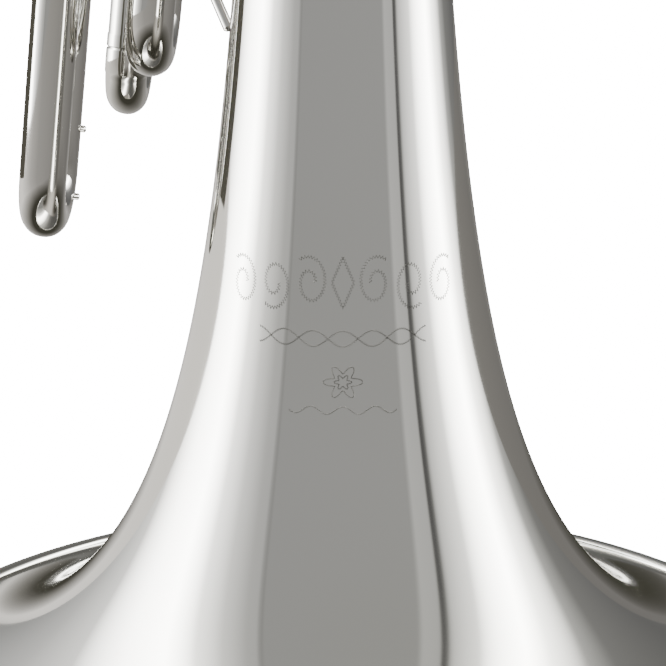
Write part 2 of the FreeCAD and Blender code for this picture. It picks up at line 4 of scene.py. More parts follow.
import bmesh
import bpy
import numpy as np
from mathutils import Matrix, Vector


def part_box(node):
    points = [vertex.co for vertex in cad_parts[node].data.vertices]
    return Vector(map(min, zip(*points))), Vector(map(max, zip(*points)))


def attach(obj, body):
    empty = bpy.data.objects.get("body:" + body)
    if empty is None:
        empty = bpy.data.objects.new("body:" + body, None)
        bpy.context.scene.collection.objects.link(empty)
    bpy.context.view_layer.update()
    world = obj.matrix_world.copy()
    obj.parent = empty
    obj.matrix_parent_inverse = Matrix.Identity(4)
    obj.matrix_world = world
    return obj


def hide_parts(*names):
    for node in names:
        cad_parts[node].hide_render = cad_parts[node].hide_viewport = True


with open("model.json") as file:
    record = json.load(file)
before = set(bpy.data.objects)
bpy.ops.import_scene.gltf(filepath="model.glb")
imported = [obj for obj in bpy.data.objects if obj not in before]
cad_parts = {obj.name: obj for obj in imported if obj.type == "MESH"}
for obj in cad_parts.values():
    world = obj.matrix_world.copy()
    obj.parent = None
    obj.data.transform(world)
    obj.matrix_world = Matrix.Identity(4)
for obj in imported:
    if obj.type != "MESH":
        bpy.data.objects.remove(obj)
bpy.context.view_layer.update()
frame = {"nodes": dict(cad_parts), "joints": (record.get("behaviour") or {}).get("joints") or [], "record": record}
nodes = frame["nodes"]

# Camera: a long lens a little above the bell's throat, level with the hanging slide bows
# and tipped down, so that the stem fills the view and the far rim crosses its foot.
camera_data = bpy.data.cameras.new("studio_camera")
camera_data.sensor_width = 36.0
camera_data.lens = 98.3
camera_data.clip_start = 0.01
camera = bpy.data.objects.new("studio_camera", camera_data)
camera.location = (-0.0027, -0.5205, 0.2553)
camera.rotation_euler = (math.radians(90 - 14.8), 0, 0)
bpy.context.scene.collection.objects.link(camera)
bpy.context.scene.camera = camera


# ---- Studio: a pale table, and a round light tent whose wall is white on both sides of
# the horn and grey around the camera, where the polished metal looks back at it.
def glow(name, colour):
    """A surface that only gives light of one colour, for the lit walls of the studio."""
    material = bpy.data.materials.new(name)
    material.use_nodes = True
    tree = material.node_tree
    tree.nodes.clear()
    out = tree.nodes.new("ShaderNodeOutputMaterial")
    light = tree.nodes.new("ShaderNodeEmission")
    light.inputs["Color"].default_value = (*colour, 1)
    tree.links.new(light.outputs[0], out.inputs["Surface"])
    return material


def mesh_piece(name, points, faces, smooth=True):
    """A mesh object at the origin from an (n, 3) array of points and a list of faces."""
    mesh = bpy.data.meshes.new(name)
    mesh.from_pydata(points.tolist(), [], [list(map(int, face)) for face in faces])
    mesh.polygons.foreach_set("use_smooth", np.full(len(mesh.polygons), smooth))
    mesh.update()
    piece = bpy.data.objects.new(name, mesh)
    bpy.context.scene.collection.objects.link(piece)
    return piece


table_half = 40.0
corners = np.array([(-1, -1), (1, -1), (1, 1), (-1, 1)]) * table_half
table = mesh_piece("table", np.column_stack([corners, np.zeros(4)]), [(0, 1, 2, 3)], False)
table_material = bpy.data.materials.new("pale_table")
table_material.use_nodes = True
table_shader = table_material.node_tree.nodes["Principled BSDF"]
table_shader.inputs["Base Color"].default_value = (0.95, 0.95, 0.95, 1)
table_shader.inputs["Roughness"].default_value = 0.9
table_shader.inputs["Emission Color"].default_value = (1, 1, 1, 1)
table_shader.inputs["Emission Strength"].default_value = 18.0
table.data.materials.append(table_material)
table.visible_glossy = False


def tent_wall(name, radius, low, high):
    """Round wall: a circle of the given radius carried straight up from low to high."""
    around = np.radians(np.linspace(0, 360, 181)[:-1])
    heights = np.linspace(low, high, 9)
    ring = np.column_stack([radius * np.sin(around), -radius * np.cos(around)])
    points = np.concatenate([np.column_stack([ring, np.full(180, rise)]) for rise in heights])
    index = np.arange(180)
    faces = [(a, b, b + 180, a + 180) for row in range(8)
             for a, b in zip(index + row * 180, np.roll(index, -1) + row * 180)]
    return mesh_piece(name, points, faces)


backdrop = tent_wall("backdrop", 36.0, -1.0, 44.0)
backdrop.data.materials.append(table_material)
backdrop.visible_glossy = False
backdrop.visible_diffuse = False


def tone_ring(tree, stops, tint):
    """Colour by the angle round the vertical axis: 0 faces the camera, negative is its left."""
    place = tree.nodes.new("ShaderNodeTexCoord")
    split = tree.nodes.new("ShaderNodeSeparateXYZ")
    tree.links.new(place.outputs["Object"], split.inputs[0])
    back = tree.nodes.new("ShaderNodeMath")
    back.operation = "MULTIPLY"
    back.inputs[1].default_value = -1.0
    tree.links.new(split.outputs["Y"], back.inputs[0])
    angle = tree.nodes.new("ShaderNodeMath")
    angle.operation = "ARCTAN2"
    tree.links.new(split.outputs["X"], angle.inputs[0])
    tree.links.new(back.outputs[0], angle.inputs[1])
    spread = tree.nodes.new("ShaderNodeMapRange")
    spread.inputs["From Min"].default_value = -math.pi
    spread.inputs["From Max"].default_value = math.pi
    tree.links.new(angle.outputs[0], spread.inputs["Value"])
    tones = tree.nodes.new("ShaderNodeValToRGB")
    ramp = tones.color_ramp
    for row, (degrees, tone) in enumerate(stops):
        ends = {0: ramp.elements[0], len(stops) - 1: ramp.elements[-1]}
        stop = ends.get(row) or ramp.elements.new((degrees + 180) / 360)
        stop.color = (*(tone * part for part in tint), 1)
    tree.links.new(spread.outputs[0], tones.inputs[0])
    return tones.outputs[0]


# The tent's wall, which only the metal sees: its brightness at each angle, in degrees.
tent_tones = [(-180, 0.18), (-157, 0.32), (-140, 0.8), (-125, 1.5), (-105, 10), (-89, 14),
              (-75, 3.2), (-62, 1.25), (-50, 0.64), (-44.5, 0.6), (-43, 0.30), (-41, 0.40),
              (40, 0.41), (42, 0.66), (51, 0.62), (52, 0.12), (54.5, 0.12), (57, 0.9),
              (70, 2.0), (80, 8.5), (92, 15), (102, 5.4), (116, 0.66), (126, 0.25), (150, 0.15),
              (180, 0.18)]
tent_white = (1, 1, 0.985)
tent = tent_wall("light_tent", 3.7, 0.002, 7.0)
cloth = glow("tent_cloth", (1, 1, 1))
tree = cloth.node_tree
tree.links.new(tone_ring(tree, tent_tones, tent_white), tree.nodes["Emission"].inputs["Color"])
tent.data.materials.append(cloth)
tent.visible_camera = False

# The table as the metal sees it, hidden from the camera: painted shade in a warm grey by angle, darker than the
# table the camera sees, and a painted shadow that darkens it close to the horn.
shade_tones = [(-180, 0.45), (-165, 0.75), (-150, 1.2), (-110, 1.3), (-60, 0.60), (-30, 0.42),
               (30, 0.34), (90, 0.30), (150, 0.20), (180, 0.45)]
shade_warm, painted_shadow_dark = (1, 0.965, 0.915), (0.06, 0.058, 0.045, 1)
painted_shadow_within, warm_beyond = 0.20, 0.52
table_shade = mesh_piece("table_shade", np.column_stack([corners, np.full(4, -0.002)]),
                         [(0, 1, 2, 3)], False)
shade = glow("table_shade", (1, 1, 1))
tree = shade.node_tree
place = tree.nodes.new("ShaderNodeTexCoord")
distance = tree.nodes.new("ShaderNodeVectorMath")
distance.operation = "LENGTH"
tree.links.new(place.outputs["Object"], distance.inputs[0])
fade = tree.nodes.new("ShaderNodeMapRange")
fade.inputs["From Min"].default_value = painted_shadow_within
fade.inputs["From Max"].default_value = warm_beyond
tree.links.new(distance.outputs["Value"], fade.inputs["Value"])
blend = tree.nodes.new("ShaderNodeMix")
blend.data_type = "RGBA"
blend.inputs["A"].default_value = painted_shadow_dark
tree.links.new(fade.outputs[0], blend.inputs["Factor"])
tree.links.new(tone_ring(tree, shade_tones, shade_warm), blend.inputs["B"])
tree.links.new(blend.outputs["Result"], tree.nodes["Emission"].inputs["Color"])
table_shade.data.materials.append(shade)
table_shade.visible_camera = False

# A dark olive card left of the stem, hidden from the camera: a painted dark reflection that the polished stem and
# tubing pick up as an edge.
card_low, card_high = 0.150, 0.420
card = mesh_piece("dark_card", np.array([
    (-0.150, 0.062, card_low), (-0.088, 0.125, card_low),
    (-0.088, 0.125, card_high), (-0.150, 0.062, card_high)]), [(0, 1, 2, 3)], False)
card.data.materials.append(glow("dark_card", (0.105, 0.100, 0.080)))
card.visible_camera = False

world = bpy.data.worlds.new("studio_world")
bpy.context.scene.world = world
world.use_nodes = True
world.node_tree.nodes["Background"].inputs["Color"].default_value = (1.0, 0.94, 0.88, 1)
world.node_tree.nodes["Background"].inputs["Strength"].default_value = 0.55


# ---- Metals. The horn is drawn from nickel silver sheet and tube, buffed to a mirror and
# lacquered; the finish below is that metal, with faint buffing lines and handling haze.
def metal(name, colour, rough, haze, scale=1.0, lacquer=0.25):
    """Polished metal: cloudy noise drives its roughness and tint, and stretched noise its lines."""
    material = bpy.data.materials.new(name)
    material.use_nodes = True
    tree = material.node_tree
    shader = tree.nodes["Principled BSDF"]
    shader.inputs["Metallic"].default_value = 1.0
    shader.inputs["Coat Weight"].default_value = lacquer
    shader.inputs["Coat Roughness"].default_value = 0.02
    place = tree.nodes.new("ShaderNodeTexCoord")

    def noise(size, detail):
        """Noise of the given scale on Object coordinates."""
        texture = tree.nodes.new("ShaderNodeTexNoise")
        texture.inputs["Scale"].default_value = size
        texture.inputs["Detail"].default_value = detail
        tree.links.new(place.outputs["Object"], texture.inputs["Vector"])
        return texture.outputs[0]

    def ranged(value, low, high):
        """The middle of a noise's values stretched to run from low to high."""
        span = tree.nodes.new("ShaderNodeMapRange")
        span.inputs["From Min"].default_value = 0.35
        span.inputs["From Max"].default_value = 0.7
        span.inputs["To Min"].default_value = low
        span.inputs["To Max"].default_value = high
        tree.links.new(value, span.inputs["Value"])
        return span.outputs[0]

    clouds = noise(18 * scale, 5)
    tree.links.new(ranged(clouds, rough, rough + haze), shader.inputs["Roughness"])
    tint = tree.nodes.new("ShaderNodeMix")
    tint.data_type = "RGBA"
    tint.inputs[6].default_value = (*colour, 1)
    tint.inputs[7].default_value = (*[part * 0.94 for part in colour[:2]], colour[2] * 0.90, 1)
    tree.links.new(ranged(noise(7 * scale, 3), 0, 1), tint.inputs[0])
    tree.links.new(tint.outputs[2], shader.inputs["Base Color"])
    stretch = tree.nodes.new("ShaderNodeMapping")
    stretch.inputs["Scale"].default_value = (1, 1, 26)
    tree.links.new(place.outputs["Object"], stretch.inputs["Vector"])
    lines = tree.nodes.new("ShaderNodeTexNoise")
    lines.inputs["Scale"].default_value = 60 * scale
    tree.links.new(stretch.outputs[0], lines.inputs["Vector"])
    bump = tree.nodes.new("ShaderNodeBump")
    bump.inputs["Strength"].default_value = 0.02
    bump.inputs["Distance"].default_value = 0.00004
    tree.links.new(lines.outputs[0], bump.inputs["Height"])
    tree.links.new(bump.outputs[0], shader.inputs["Normal"])
    return material


nickel_silver = metal("nickel_silver", (0.80, 0.79, 0.76), 0.035, 0.035)


# ---- Bell: one sheet spun to a flare and rolled over a wire at its rim. The wall is a
# lathe turn of a power-law throat, closed inside and out, with the round bead at its foot.
def ring_grid(rings):
    """Faces of a closed band of quads over rings of equal count, the last joined to the first."""
    rows, around = rings.shape[:2]
    index = np.arange(rows * around).reshape(rows, around)
    next_row = np.roll(index, -1, axis=0)
    quads = np.stack([index, np.roll(index, -1, axis=1), np.roll(next_row, -1, axis=1), next_row],
                     axis=-1)
    return rings.reshape(-1, 3), quads.reshape(-1, 4)


def turned(name, profile, origin, axis, around=96):
    """Lathe turn: each (radius, height) of a closed profile carried round the axis."""
    axis = np.array(axis, float) / np.linalg.norm(axis)
    side = np.cross(axis, (0.3, 1.0, 0.2))
    side /= np.linalg.norm(side)
    other = np.cross(axis, side)
    angle = np.linspace(0, 2 * np.pi, around, endpoint=False)
    circle = np.cos(angle)[:, None] * side + np.sin(angle)[:, None] * other
    profile = np.array(profile, float)
    rings = (np.array(origin) + profile[:, 0, None, None] * circle[None]
             + profile[:, 1, None, None] * axis)
    points, faces = ring_grid(rings)
    piece = mesh_piece(name, points, faces)
    outward(piece)
    return piece


def outward(piece):
    """Merge a closed piece's doubles and turn its faces to point outwards."""
    work = bmesh.new()
    work.from_mesh(piece.data)
    bmesh.ops.remove_doubles(work, verts=work.verts, dist=1e-7)
    bmesh.ops.recalc_face_normals(work, faces=work.faces)
    work.to_mesh(piece.data)
    work.free()


def finish_piece(piece, body, material, cad_slot, *replaced):
    """Give a piece its metal, the body it moves with and the CAD nodes it stands for."""
    piece.data.materials.append(material)
    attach(piece, body)
    if replaced:
        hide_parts(*replaced)
    return piece


def sharp(piece, degrees=32):
    """Keep turned corners crisp and everything else smooth."""
    split = piece.modifiers.new("crisp_corners", "EDGE_SPLIT")
    split.split_angle = math.radians(degrees)


bell_low, bell_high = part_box("bell")
rim_radius = (bell_high[0] - bell_low[0]) / 2
bead = 0.0032
throat_reach = 0.0238
throat_power = 0.70


def throat_radius(height):
    """Radius of the throat: the rim's times (reach / (height + reach)) to the power."""
    return rim_radius * (throat_reach / (height - bead + throat_reach)) ** throat_power


stem_top = bell_high[2]
sheet_wall = 0.0005
heights = bead + 0.0006 + (stem_top - bead - 0.0006) * np.linspace(0, 1, 150) ** 2
throat = throat_radius(heights)
outer = np.column_stack([throat, heights])
inner = np.column_stack([throat - sheet_wall, heights - sheet_wall * 0.4])[::-1]
bead_angle = np.radians(np.linspace(155, -165, 33))
bead_line = np.column_stack([rim_radius - bead + bead * np.cos(bead_angle),
                             np.maximum(bead - 0.00025 + bead * np.sin(bead_angle), 0)])
bell = turned("bell_sheet", np.vstack([bead_line[::-1], outer, inner]), (0, 0, 0), (0, 0, 1), 256)
finish_piece(bell, "horn", nickel_silver, "nickel_silver", "bell")


# ---- The wrap: the horn's body lies in a plane tilted from the bell's axis. Its directions
# come from the joints: slides pull down the plane and rotors turn about lines square to it.
joints = {joint["name"]: joint for joint in frame["joints"]}
up = -np.array(joints["f_slide_third_pull"]["axis"])
to_levers = np.array(joints["rotor_third_turn"]["axis"])
away = np.array((0.0, 1.0, 0.0))
mm = 0.001
valve_pitch = 44.0
first_valve = 75.0
valve_rise = 20.0
valve_middle = 48.0
wrap_origin = (np.array(joints["rotor_third_turn"]["pos_m"])
               - mm * (valve_middle * to_levers + first_valve * away + valve_rise * up))


def wrap(w, p, v):
    """A place on the wrap, in metres: w mm to the levers, p mm from the bell, v mm up."""
    return wrap_origin + mm * (np.multiply.outer(w, to_levers) + np.multiply.outer(p, away)
                               + np.multiply.outer(v, up))


# ---- Tubing: drawn nickel silver, bent over a mandrel. A route is straight runs with an
# arc at each corner, and a tube is a circle carried along it with a wall inside.
def walk(points, bends):
    """Runs and arcs of a bent route, as (length, function of distance giving place, heading)."""
    points = [np.array(point, float) for point in points]
    pieces, start = [], points[0]

    def run(first, last):
        """A straight run: the first place plus distance times its heading."""
        length = np.linalg.norm(last - first)
        way = (last - first) / length
        pieces.append((length, lambda d: (first + d[:, None] * way, np.tile(way, (len(d), 1)))))

    for before, corner, after, bend in zip(points, points[1:], points[2:], bends):
        back = (before - corner) / np.linalg.norm(before - corner)
        ahead = (after - corner) / np.linalg.norm(after - corner)
        turn = np.pi - np.arccos(np.clip(back @ ahead, -1, 1))
        reach = bend * np.tan(turn / 2)
        first = corner + back * reach
        inward = back + ahead
        inward /= np.linalg.norm(inward)
        centre = corner + inward * bend / np.cos(turn / 2)
        if np.linalg.norm(first - start) > 1e-6:
            run(start, first)
        out = (first - centre) / bend

        def arc(d, centre=centre, out=out, way=-back, bend=bend):
            """An arc: centre plus radius times (cosine outwards plus sine along)."""
            a = (d / bend)[:, None]
            return (centre + bend * (np.cos(a) * out + np.sin(a) * way),
                    np.cos(a) * way - np.sin(a) * out)

        pieces.append((bend * turn, arc))
        start = corner + ahead * reach
    if np.linalg.norm(points[-1] - start) > 1e-6:
        run(start, points[-1])
    return pieces


def along(pieces, distances):
    """Places and headings at distances along a route."""
    places, headings = np.zeros((len(distances), 3)), np.zeros((len(distances), 3))
    start = 0.0
    for length, function in pieces:
        here = (distances >= start - 1e-9) & (distances <= start + length + 1e-9)
        if here.any():
            places[here], headings[here] = function(distances[here] - start)
        start += length
    return places, headings


def circles(places, headings, radii, around):
    """Circles of the given radii round a line: each frame is the last squared to its heading."""
    side = np.cross(headings[0], (0.31, 0.17, 0.93))
    sides = []
    for heading in headings:
        side = side - heading * (side @ heading)
        side /= np.linalg.norm(side)
        sides.append(side)
    sides = np.array(sides)[:, None]
    others = np.cross(headings[:, None], sides)
    angle = np.linspace(0, 2 * np.pi, around, endpoint=False)[None, :, None]
    return places[:, None] + radii[:, None, None] * (np.cos(angle) * sides
                                                     + np.sin(angle) * others)


def carried(name, places, headings, outer, inner, around=40):
    """A circle carried along a line, with a second one inside it so that the wall is closed."""
    points, faces = ring_grid(np.concatenate([circles(places, headings, outer, around),
                                              circles(places, headings, inner, around)[::-1]]))
    piece = mesh_piece(name, points, faces)
    outward(piece)
    sharp(piece)
    return piece


def tube(name, points, bends, steps, wall=0.0006, around=40, spacing=0.0022):
    """A bent tube; steps are (distance, outer radius) pairs, and radii run evenly between."""
    pieces = walk(points, bends)
    length = sum(piece[0] for piece in pieces)
    marks = np.array([length + d if d < 0 else d for d, _ in steps])
    radii = np.array([r for _, r in steps])
    even = np.linspace(0, length, max(int(length / spacing), 8))
    distances = np.sort(np.concatenate([even, marks[(marks > 0) & (marks < length)]]))
    places, headings = along(pieces, np.clip(distances, 0, length))
    outer = np.interp(distances, marks, radii)
    inner = np.full(len(distances), radii.min() - wall) if np.ptp(radii) < 0.003 else outer - wall
    return carried(name, places, headings, outer, inner, around)


tail_circle = 128.0
tail_turn = np.radians(262.0)


def tail_spot(angle):
    """Centres and headings of the tail at angles round its circle."""
    places = wrap(0, tail_circle * (1 - np.cos(angle)), tail_circle * np.sin(angle))
    headings = np.outer(np.sin(angle), away) + np.outer(np.cos(angle), up)
    return places, headings


# ---- Bell tail: the tapered tube that carries the bell's throat once round the hand, its
# radius following the same law as the bell, and the two turned ferrules at its ends.
tail_angles = np.linspace(math.radians(5), tail_turn, 220)
tail_places, tail_headings = tail_spot(tail_angles)
tail_start = np.array([(0, 0, stem_top + 0.0002)])
tail_places = np.vstack([tail_start, tail_places])
tail_headings = np.vstack([[(0, 0, 1)], tail_headings])
tail_way = np.concatenate([[0.0], tail_angles * tail_circle * mm])
tail_radius = throat_radius(stem_top + bead + tail_way) - 0.00002
tail = carried("tail_tube", tail_places, tail_headings, tail_radius, tail_radius - sheet_wall, 96)
finish_piece(tail, "horn", nickel_silver, "nickel_silver", "bell_tail")

stem = float(throat_radius(stem_top))
round_edge = np.radians(np.linspace(-90, 90, 9))
cord_band = [(stem + 0.0022 + 0.0006 * math.cos(a), stem_top - 0.0100 + 0.0009 * math.sin(a))
             for a in round_edge]
stem_ring = turned("stem_ring", [
    (stem + 0.0008, stem_top - 0.0119), (stem + 0.0020, stem_top - 0.0119)] + cord_band + [
    (stem + 0.0016, stem_top - 0.0082), (stem + 0.0014, stem_top - 0.0010),
    (stem + 0.00015, stem_top - 0.0010)], (0, 0, 0), (0, 0, 1), 96)
sharp(stem_ring)
finish_piece(stem_ring, "horn", nickel_silver, "nickel_silver", "stem_ferrule")

small_end = float(tail_radius[-1])
tail_end, tail_way_out = tail_places[-1], tail_headings[-1]
tail_ring = turned("tail_ring", [(small_end + 0.0006, -0.009), (small_end + 0.0013, -0.009),
                                 (small_end + 0.0015, -0.0075), (small_end + 0.0011, -0.0062),
                                 (small_end + 0.0011, 0.0012), (small_end + 0.0014, 0.002),
                                 (small_end + 0.0006, 0.003)], tail_end, tail_way_out, 64)
sharp(tail_ring)
finish_piece(tail_ring, "horn", nickel_silver, "nickel_silver", "tail_ferrule")

# ---- Branch, return tube and leadpipe: bent tubes soldered between the tail, the valves
# and the mouthpiece, each with its own bends.
tube_radius = 0.0066
flat_layer, deep_layer = 35, 61
casing_reach = 17.05
port = first_valve - casing_reach
riser = 37.0
branch_start = tail_end + tail_way_out * 0.0003
to_riser = ((branch_start - wrap_origin) @ away - riser * mm) / -(tail_way_out @ away)
branch = tube("branch_tube", [
    branch_start, branch_start + tail_way_out * to_riser, wrap(0, riser, valve_rise),
    wrap(flat_layer, riser, valve_rise), wrap(flat_layer, port, valve_rise)],
    [0.026, 0.017, 0.0095], [(0, small_end), (0.12, small_end * 0.85), (-0.0001, tube_radius)])
finish_piece(branch, "horn", nickel_silver, "nickel_silver", "tail_branch")

last_port = first_valve + 3 * valve_pitch + casing_reach
left, right, loop = port - 14, last_port + 14, 62.0
return_tube = tube("return_tube", [
    wrap(deep_layer, port, valve_rise), wrap(deep_layer, left, valve_rise),
    wrap(deep_layer, left, loop), wrap(deep_layer, right, loop),
    wrap(deep_layer, right, valve_rise), wrap(deep_layer, last_port, valve_rise)],
    [0.0125] * 4, [(0, tube_radius), (-0.0001, tube_radius)])
finish_piece(return_tube, "horn", nickel_silver, "nickel_silver", "f_return_tube")

main_near = first_valve + 3 * valve_pitch + 14
main_far = main_near + 42
receiver_spot = wrap(52, 338, 168)
bend_spot = wrap(flat_layer, main_far, 92)
leadpipe = tube("lead_pipe", [receiver_spot, bend_spot, wrap(flat_layer, main_far, 11.55)],
                [0.070], [(0, 0.005), (-0.0001, tube_radius)], 0.0005)
finish_piece(leadpipe, "horn", nickel_silver, "nickel_silver", "leadpipe")

# ---- Slides and sleeves: each pull slide is a bow with two ferrules and two fitted legs
# that run in sleeves soldered to the valves. They stay put by the grease on the legs.
bow_radius, leg_radius, ferrule_radius = 0.0076, 0.00694, 0.00785
SLIDES = [("f_slide_third", 0, 68, 28, -110, -278), ("flat_slide_third", 0, 38, 28, -110, -221),
          ("f_slide_second", 1, 61, 28, -60, -130), ("flat_slide_second", 1, 35, 28, -50, -105),
          ("f_slide_first", 2, 53, 28, -221, -247.5), ("flat_slide_first", 2, 34, 28, -70, -165),
          ("f_tuning_slide", 3, 61, 28, -70, -150), ("main_tuning_slide", 3, 35, 42, -75, -178)]
sleeve_top = valve_rise - 8.5
sleeves = {"f_slide_sleeves": [], "flat_slide_sleeves": [], "main_slide_sleeves": []}
for name, valve, w, spread_mm, mouth, bottom in SLIDES:
    middle = first_valve + valve_pitch * valve
    if name == "main_tuning_slide":
        middle = (main_near + main_far) / 2
    half = spread_mm / 2
    leg = min(75.0, sleeve_top - mouth - 8)
    base = bottom + bow_radius / mm
    steps = [(0.0, leg_radius), (leg * mm + 0.00049, leg_radius),
             (leg * mm + 0.0005, ferrule_radius - 0.0003), (leg * mm + 0.0010, ferrule_radius),
             (leg * mm + 0.0088, ferrule_radius), (leg * mm + 0.0094, bow_radius)]
    steps += [(-d, r) for d, r in reversed(steps) if d > 0] + [(-1e-9, leg_radius)]
    bow = tube(name + "_bow", [wrap(w, middle - half, mouth + leg), wrap(w, middle - half, base),
                               wrap(w, middle + half, base), wrap(w, middle + half, mouth + leg)],
               [half * mm, half * mm], steps, 0.0007)
    finish_piece(bow, name, nickel_silver, "nickel_silver", name)
    kind = "main" if name.startswith("main") else "f" if name.startswith("f_") else "flat"
    top = valve_rise - 19.5 if w > 65 else sleeve_top
    for side in (-half, half):
        spot = wrap(w, middle + side, mouth)
        high = (top - mouth) * mm
        bore = leg_radius + 0.00006
        cover = turned(f"{name}_sleeve_{'near' if side < 0 else 'far'}", [
            (bore, 0), (ferrule_radius - 0.0003, 0), (ferrule_radius, 0.0004),
            (ferrule_radius, 0.0044), (bow_radius, 0.005), (bow_radius, high - 0.001),
            (bow_radius - 0.001, high), (0.0002, high), (0.0002, high - 0.004),
            (bore, high - 0.004)], spot, up, 40)
        sharp(cover)
        sleeves[kind + "_slide_sleeves"].append(cover)
for node, covers in sleeves.items():
    for row, cover in enumerate(covers):
        finish_piece(cover, "horn", nickel_silver, "nickel_silver", *([node] if row == 0 else []))


# ---- Valve casings: turned nickel silver barrels with a raised band at each end, their
# domed back caps, and the short knuckles that join one barrel to the next.
def solid(name, places, headings, radii, around=20):
    """A solid rod: circles of the given radii carried along a line and closed at both ends."""
    rings = circles(places, headings, radii, around)
    index = np.arange(rings.shape[0] * around).reshape(-1, around)
    low, high = index[:-1], index[1:]
    faces = np.stack([low, np.roll(low, -1, 1), np.roll(high, -1, 1), high], -1).reshape(-1, 4)
    faces = faces.tolist() + [index[0][::-1].tolist(), index[-1].tolist()]
    piece = mesh_piece(name, rings.reshape(-1, 3), faces)
    outward(piece)
    sharp(piece)
    return piece


def bar(name, points, bends, radius, tip=None, around=20, spacing=0.0015):
    """A round bar along a bent route with softened ends; tip is the radius at its far end."""
    pieces = walk(points, bends)
    length = sum(piece[0] for piece in pieces)
    soft = radius * 0.35
    distances = np.concatenate([[0, soft], np.linspace(soft, length - soft,
                                max(int(length / spacing), 6))[1:-1], [length - soft, length]])
    places, headings = along(pieces, distances)
    radii = np.interp(distances, [0, length], [radius, tip or radius])
    radii[[0, -1]] *= 0.65
    return solid(name, places, headings, radii, around)


casing_radius, casing_half = 0.017, 0.024
VALVES = ["third", "second", "first", "change"]
for row, valve in enumerate(VALVES):
    centre = wrap(valve_middle, first_valve + valve_pitch * row, valve_rise)
    r, h = casing_radius, casing_half
    barrel = turned(f"valve_barrel_{valve}", [
        (0.0031, h), (r - 0.0006, h), (r, h - 0.0006), (r, h - 0.0030), (r - 0.0006, h - 0.0036),
        (r - 0.0006, -h + 0.0046), (r, -h + 0.0040), (r, -h + 0.0008), (r - 0.0006, -h),
        (r - 0.0018, -h), (r - 0.0018, h - 0.003), (0.0031, h - 0.003)],
        centre, to_levers, 96)
    sharp(barrel)
    finish_piece(barrel, "horn", nickel_silver, "nickel_silver", f"valve_casing_{valve}")
    c = r + 0.0016
    milled = [(c - 0.0003 * (k % 2), -h + 0.0012 - 0.0004 * k) for k in range(6)]
    cap = turned(f"valve_cap_{valve}", milled + [
        (c - 0.0012, -h - 0.0012), (c * 0.82, -h - 0.0019), (c * 0.80, -h - 0.0025),
        (c * 0.50, -h - 0.0031), (c * 0.48, -h - 0.0028), (c * 0.44, -h - 0.0028),
        (c * 0.42, -h - 0.0033), (0.0002, -h - 0.0034), (0.0002, -h - 0.0001),
        (r + 0.0001, -h - 0.0001), (r + 0.0001, -h + 0.0014)], centre, to_levers, 96)
    sharp(cap, 24)
    finish_piece(cap, "horn", nickel_silver, "nickel_silver", *(["valve_caps"] if row == 0 else []))

knuckle_reach = 16.9
for row in range(3):
    for layer in (flat_layer, deep_layer):
        near = first_valve + valve_pitch * row + knuckle_reach
        far = near + valve_pitch - 2 * knuckle_reach
        knuckle = tube(f"knuckle_{row}_{layer}", [wrap(layer, near, valve_rise),
                                                  wrap(layer, far, valve_rise)], [],
                       [(0, tube_radius), (-0.0001, tube_radius)], 0.0005)
        finish_piece(knuckle, "horn", nickel_silver, "nickel_silver",
                     *(["knuckles"] if row == 0 and layer == flat_layer else []))

# ---- Mouthpiece and receiver: turned parts. The silver-plated mouthpiece has a rounded rim,
# a deep funnel cup and a tapered shank that wedges into the receiver on the leadpipe.
silver_plate = metal("silver_plate", (0.88, 0.87, 0.85), 0.03, 0.04, 2.0, 0.0)
blow_way = (receiver_spot - bend_spot) / np.linalg.norm(receiver_spot - bend_spot)
blow_end = receiver_spot + blow_way * 0.0002
receiver = turned("receiver_tube", np.array([
    (5.4, -14), (6.1, -14), (6.4, -13.6), (6.2, -12), (6.2, 10), (6.5, 11), (6.9, 12), (6.9, 15),
    (6.6, 15.6), (6.6, 19), (6.9, 19.6), (6.9, 22), (7.6, 24), (7.6, 27.4), (7.2, 28), (6.0, 28),
    (5.06, 2)]) * mm, blow_end, blow_way, 64)
sharp(receiver, 40)
finish_piece(receiver, "horn", nickel_silver, "nickel_silver", "mouthpiece_receiver")
rim_angle = np.radians(np.linspace(-20, 200, 17))
mouth_rim = np.column_stack([11.4 + 2.35 * np.cos(rim_angle), 71.6 + 2.35 * np.sin(rim_angle)])
funnel = np.linspace(0, 1, 20)[1:]
cup = np.column_stack([9.05 - 6.7 * funnel ** 1.15, 71.0 - 27 * funnel])
outside = [(4.1, 4), (4.9, 4), (5.0, 4.4), (5.92, 28.2), (6.4, 34), (6.9, 37), (6.9, 38.4),
           (6.5, 39), (7.4, 44), (8.6, 49), (10.4, 56), (11.7, 62), (12.9, 66.5),
           (13.5, 68.5), (13.75, 70.2)]
mouthpiece = turned("mouthpiece_turned", np.vstack([outside, mouth_rim, cup, [(2.3, 38)]]) * mm,
                    blow_end, blow_way, 96)
sharp(mouthpiece, 40)
finish_piece(mouthpiece, "mouthpiece", silver_plate, "silver_plate", "mouthpiece")

# ---- Levers: cast and filed nickel silver cranks on a hinge rod. A dished touch takes the
# finger, and a short arm holds the upright bar that the string is tied to.
def dull(name, texture, scale, dark, light, rough):
    """A dull surface: a fine texture on Object coordinates takes its colour from dark to light."""
    material = bpy.data.materials.new(name)
    material.use_nodes = True
    tree = material.node_tree
    shader = tree.nodes["Principled BSDF"]
    shader.inputs["Roughness"].default_value = rough
    grain = tree.nodes.new(texture)
    grain.inputs["Scale"].default_value = scale
    colour = tree.nodes.new("ShaderNodeValToRGB")
    colour.color_ramp.elements[0].color = (*dark, 1)
    colour.color_ramp.elements[1].color = (*light, 1)
    place = tree.nodes.new("ShaderNodeTexCoord")
    tree.links.new(place.outputs["Object"], grain.inputs["Vector"])
    tree.links.new(grain.outputs[0], colour.inputs[0])
    tree.links.new(colour.outputs[0], shader.inputs["Base Color"])
    return material


string_black = dull("braided_string", "ShaderNodeTexWave", 900, (0.012, 0.012, 0.014),
                    (0.06, 0.06, 0.065), 0.8)
steel = metal("ground_steel", (0.55, 0.55, 0.56), 0.12, 0.12, 3.0, 0.0)


